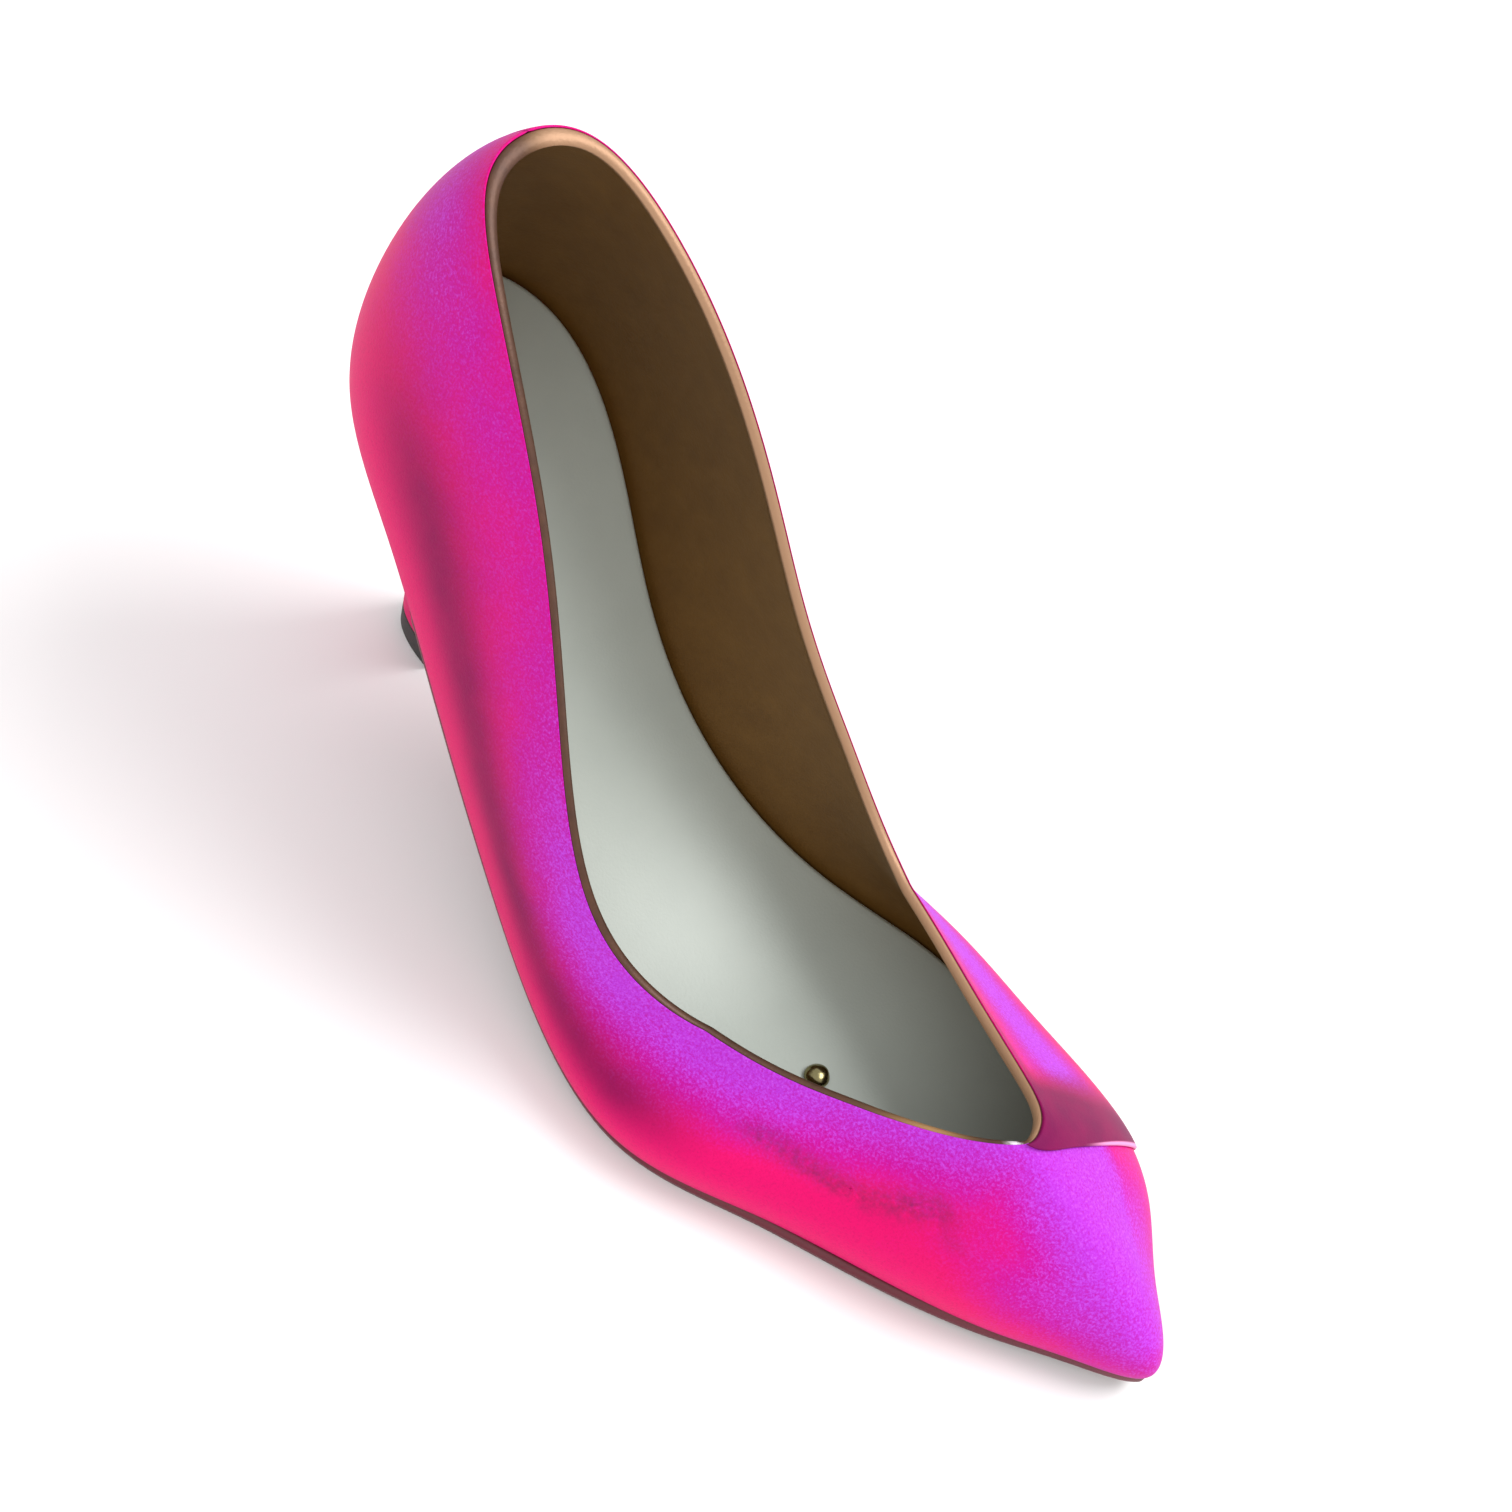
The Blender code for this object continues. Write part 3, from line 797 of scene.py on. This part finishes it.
def make_insole():
    """Insole: fills the upper's inside at its foot"""
    share = np.linspace(0.0, math.pi, 161)
    first, last = lateral_in[0, 0] + PLATE_END, lateral_in[-1, 0] - PLATE_END
    stations = first + (last - first) * (1.0 - np.cos(share)) / 2.0
    floor = np.full(len(stations), FIT)
    made = pillow(
        lateral_in, medial_in, stations, floor, floor + INSOLE, INSOLE_ROUND,
        "insole_sock", insole_pale,
    )
    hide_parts("insole")


def make_outsole():
    """Outsole: from the heel breast to the tip, thinner under the shank"""
    lateral, medial = (edge.copy() for edge in sides(-SOLE_INSET))
    swell = gauss(lateral[:, 0], WELT_AT * LAST_LENGTH, WELT_SPREAD)
    lateral[:, 1] -= (SOLE_INSET + TOE_WELT) * swell
    last = lateral[-1, 0] - PLATE_END
    stations = BREAST + (last - BREAST) * np.sin(np.linspace(0.0, math.pi / 2.0, 150))
    onward = smooth((stations - SHANK_END) / (BALL_REAR - SHANK_END))
    thick = SHANK_SOLE + (SOLE - SHANK_SOLE) * onward
    made = pillow(
        lateral, medial, stations, -FIT - thick, np.full(len(stations), -FIT), SOLE_ROUND,
        "outsole_leather", sole_red,
    )
    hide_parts("outsole")


def heel_seat(count, front_count):
    """Ring of the heel's seat in plan: the outsole's outline behind the breast, then a straight
    front, with this many points on each"""
    lateral, medial = (edge[edge[:, 0] < BREAST - FIT] for edge in sides(-SOLE_INSET))
    seat = np.vstack([lateral[::-1], medial[1:]])
    length = np.append(0.0, np.cumsum(np.linalg.norm(np.diff(seat, axis=0), axis=1)))
    picks = np.linspace(0.0, length[-1], count)
    seat = np.stack([np.interp(picks, length, seat[:, k]) for k in (0, 1)], axis=-1)
    share = np.linspace(0.0, 1.0, front_count + 2)[1:-1, None]
    return np.vstack([seat, seat[-1] + (seat[0] - seat[-1]) * share]), share


def heel_tip(seat_ring, count, share):
    """Ring of the heel's tip: a flattened half ellipse, then a straight front"""
    angle = np.linspace(0.0, math.pi, count)
    half = HEEL_TIP_WIDTH / 2.0
    front = seat_ring[:, 0].min() + HEEL_TIP_SETBACK + HEEL_TIP_LENGTH * 0.5
    x = front - HEEL_TIP_LENGTH * np.sin(angle) ** 0.85
    y = -half * np.sign(np.cos(angle)) * np.abs(np.cos(angle)) ** 0.85
    round_part = np.column_stack([x, y])
    return np.vstack([round_part, round_part[-1] + (round_part[0] - round_part[-1]) * share])


def capped(rings, centres):
    """Rings closed by a point at each end: the first and last rings shrink onto the centres"""
    first = np.repeat(centres[0][None, None], rings.shape[1], axis=1)
    last = np.repeat(centres[1][None, None], rings.shape[1], axis=1)
    return np.concatenate([first, rings, last], axis=0)


def make_heel():
    """Covered heel: rings that narrow from the seat to the tip by 1 - (1 - s)^2.5, with a shallow
    seam down the middle of its back"""
    count, front_count = 150, 26
    ring, share = heel_seat(count, front_count)
    seat_ring = place(np.column_stack([ring, np.full(len(ring), -FIT)]))
    tip_ring = heel_tip(seat_ring, count, share)
    down = np.linspace(0.0, 1.0, 90)[:, None, None]
    narrow = 1.0 - (1.0 - down) ** 2.5
    plan = seat_ring[None, :, :2] + (tip_ring[None] - seat_ring[None, :, :2]) * narrow
    height = seat_ring[None, :, 2:] * (1.0 - down) + (TOP_PIECE + FIT) * down
    rings = np.concatenate([plan, height], axis=-1)
    middle = rings.mean(axis=1, keepdims=True)
    seam = gauss(np.arange(count + front_count), (count - 1) / 2.0, 0.9)[None, :, None]
    out = rings - middle
    out[..., 2] = 0.0
    out = out / np.linalg.norm(out, axis=-1, keepdims=True)
    rings = rings - out * (HEEL_SEAM * seam)
    low = np.linspace(0.0, 1.0, 7)[1:, None, None]
    turn_in = rings[-1:] - out[-1:] * TIP_ROUND * (1.0 - np.sqrt(1.0 - low**2))
    rings[-1:, :, 2] = TOP_PIECE + FIT + HEEL_TURN
    turn_in[..., 2] = TOP_PIECE + FIT + HEEL_TURN * (1.0 - low[..., 0])
    rings = np.concatenate([rings, turn_in], axis=0)
    grid = capped(rings, (rings[0].mean(axis=0), rings[-1].mean(axis=0)))
    shape = grid.shape[:2]
    # Heel satin: a band of painted sheen near its top and an even touch of painted shade
    values = {
        "violet": np.broadcast_to(0.30 * gauss(np.arange(shape[0]), 20.0, 22.0)[:, None], shape),
        "painted_shade": np.full(shape, 0.12),
        "crease_dark": np.zeros(shape),
        "fold_highlight": np.zeros(shape),
    }
    made = grid_piece("heel_cover", grid, False, True, heel_satin, values)
    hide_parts("heel")
    return tip_ring


def make_top_piece(tip_ring):
    """Top piece: the tip's ring, rounded over at both faces by a quarter circle"""
    angle = np.linspace(0.0, math.pi / 2.0, 7)
    over, under = TIP_ROUND * (1.0 - np.sin(angle)), TIP_ROUND * (1.0 - np.cos(angle))
    inset = np.concatenate([over, under])
    level = np.concatenate([TOP_PIECE - under, over])
    middle = tip_ring.mean(axis=0)
    out = (tip_ring - middle) / np.linalg.norm(tip_ring - middle, axis=1, keepdims=True)
    plan = tip_ring[None] - out[None] * inset[:, None, None]
    high = np.broadcast_to(level[:, None, None], (len(level), len(tip_ring), 1))
    rings = np.concatenate([plan, high], axis=-1)
    grid = capped(rings, (rings[0].mean(axis=0), rings[-1].mean(axis=0)))
    made = grid_piece("heel_top_piece", grid, False, True, rubber)
    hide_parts("top_piece")


def make_stud():
    """Stud: a dome with three shallow grooves round it, turned about the insole's normal"""
    turn, level = np.meshgrid(
        np.linspace(0.0, 2.0 * math.pi, 97)[:-1], np.linspace(-0.12, 1.0, 40), indexing="ij"
    )
    swell = np.clip(level, 0.0, 1.0) * math.pi / 2.0
    groove = STUD_GROOVE * np.cos(3.0 * turn + 5.0 * level) * np.sin(2.0 * swell)
    radius = (STUD_RADIUS + groove) * np.cos(swell) * (1.0 - 0.1 * (level < 0.0))
    high = FIT + INSOLE + FIT + STUD_HEIGHT * np.sin(swell) + np.minimum(level, 0.0) * 0.001
    dome = np.stack(
        [STUD_ALONG + radius * np.cos(turn), STUD_ACROSS + radius * np.sin(turn), high], axis=-1
    )
    foot = np.broadcast_to(
        np.array([STUD_ALONG, STUD_ACROSS, FIT + INSOLE + FIT]), (dome.shape[0], 1, 3)
    )
    grid = place(np.concatenate([foot, dome], axis=1))
    made = grid_piece("stud_dome", grid, True, False, stud_bronze)
    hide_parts("stud")


make_insole()
make_outsole()
make_top_piece(make_heel())
make_stud()

# Camera at the photograph's angle, drawn back to take in the whole shoe
AZIMUTH = 59.0
ELEVATION = 54.5
ROLL = 22.5
DISTANCE = 0.40
AIM = (-0.007, 0.001, 0.063)
FRAME_MM = 36.0
LENS_MM = 55.0

# Stage
FLOOR_HALF = 4.0
FLOOR_PALE = (0.93, 0.93, 0.93, 1.0)
WORLD_WHITE = (1.0, 1.0, 1.0, 1.0)
WORLD_STRENGTH = 0.85
SHOE_MIDDLE = (0.0, 0.0, 0.05)


def make_camera():
    """Camera that looks at the shoe's middle from this azimuth off the toe, elevation and roll"""
    turn, rise = math.radians(AZIMUTH), math.radians(ELEVATION)
    back_way = Vector(
        (math.cos(rise) * math.cos(turn), -math.cos(rise) * math.sin(turn), math.sin(rise))
    )
    right = Vector((math.sin(turn), math.cos(turn), 0.0))
    above = back_way.cross(right)
    spin = math.radians(ROLL)
    across = right * math.cos(spin) + above * math.sin(spin)
    upright = above * math.cos(spin) - right * math.sin(spin)
    data = bpy.data.cameras.new("camera")
    data.sensor_width = FRAME_MM
    data.lens = LENS_MM
    made = bpy.data.objects.new("camera", data)
    bpy.context.scene.collection.objects.link(made)
    turned = Matrix((across, upright, back_way)).transposed().to_4x4()
    made.matrix_world = Matrix.Translation(Vector(AIM) + back_way * DISTANCE) @ turned
    bpy.context.scene.camera = made


def make_stage():
    """Pale floor, and a soft world light"""
    mesh = bpy.data.meshes.new("floor")
    corners = [(-FLOOR_HALF, -FLOOR_HALF, 0.0), (FLOOR_HALF, -FLOOR_HALF, 0.0)]
    corners += [(FLOOR_HALF, FLOOR_HALF, 0.0), (-FLOOR_HALF, FLOOR_HALF, 0.0)]
    mesh.from_pydata(corners, [], [(0, 1, 2, 3)])
    floor = bpy.data.objects.new("floor", mesh)
    bpy.context.scene.collection.objects.link(floor)
    pale = Finish("floor_pale", Roughness=0.9)
    pale.shader.inputs["Base Color"].default_value = FLOOR_PALE
    mesh.materials.append(pale.material)
    world = bpy.data.worlds.new("world")
    bpy.context.scene.world = world
    world.use_nodes = True
    background = world.node_tree.nodes["Background"]
    background.inputs["Color"].default_value = WORLD_WHITE
    background.inputs["Strength"].default_value = WORLD_STRENGTH
    bpy.context.scene.view_settings.view_transform = "Standard"


def make_light(name, place_at, size, watts, colour):
    """Square soft light at a place, aimed at the shoe's middle"""
    data = bpy.data.lights.new(name, "AREA")
    data.shape = "SQUARE"
    data.size = size
    data.energy = watts
    data.color = colour
    made = bpy.data.objects.new(name, data)
    bpy.context.scene.collection.objects.link(made)
    made.location = place_at
    way = Vector(SHOE_MIDDLE) - Vector(place_at)
    made.rotation_euler = way.to_track_quat("-Z", "Y").to_euler()


make_camera()
make_stage()
make_light("key", (0.35, 0.55, 0.9), 0.6, 9.0, (1.0, 1.0, 1.0))
make_light("fill", (0.5, -0.8, 0.7), 0.9, 3.0, (1.0, 0.98, 0.96))

write_size()
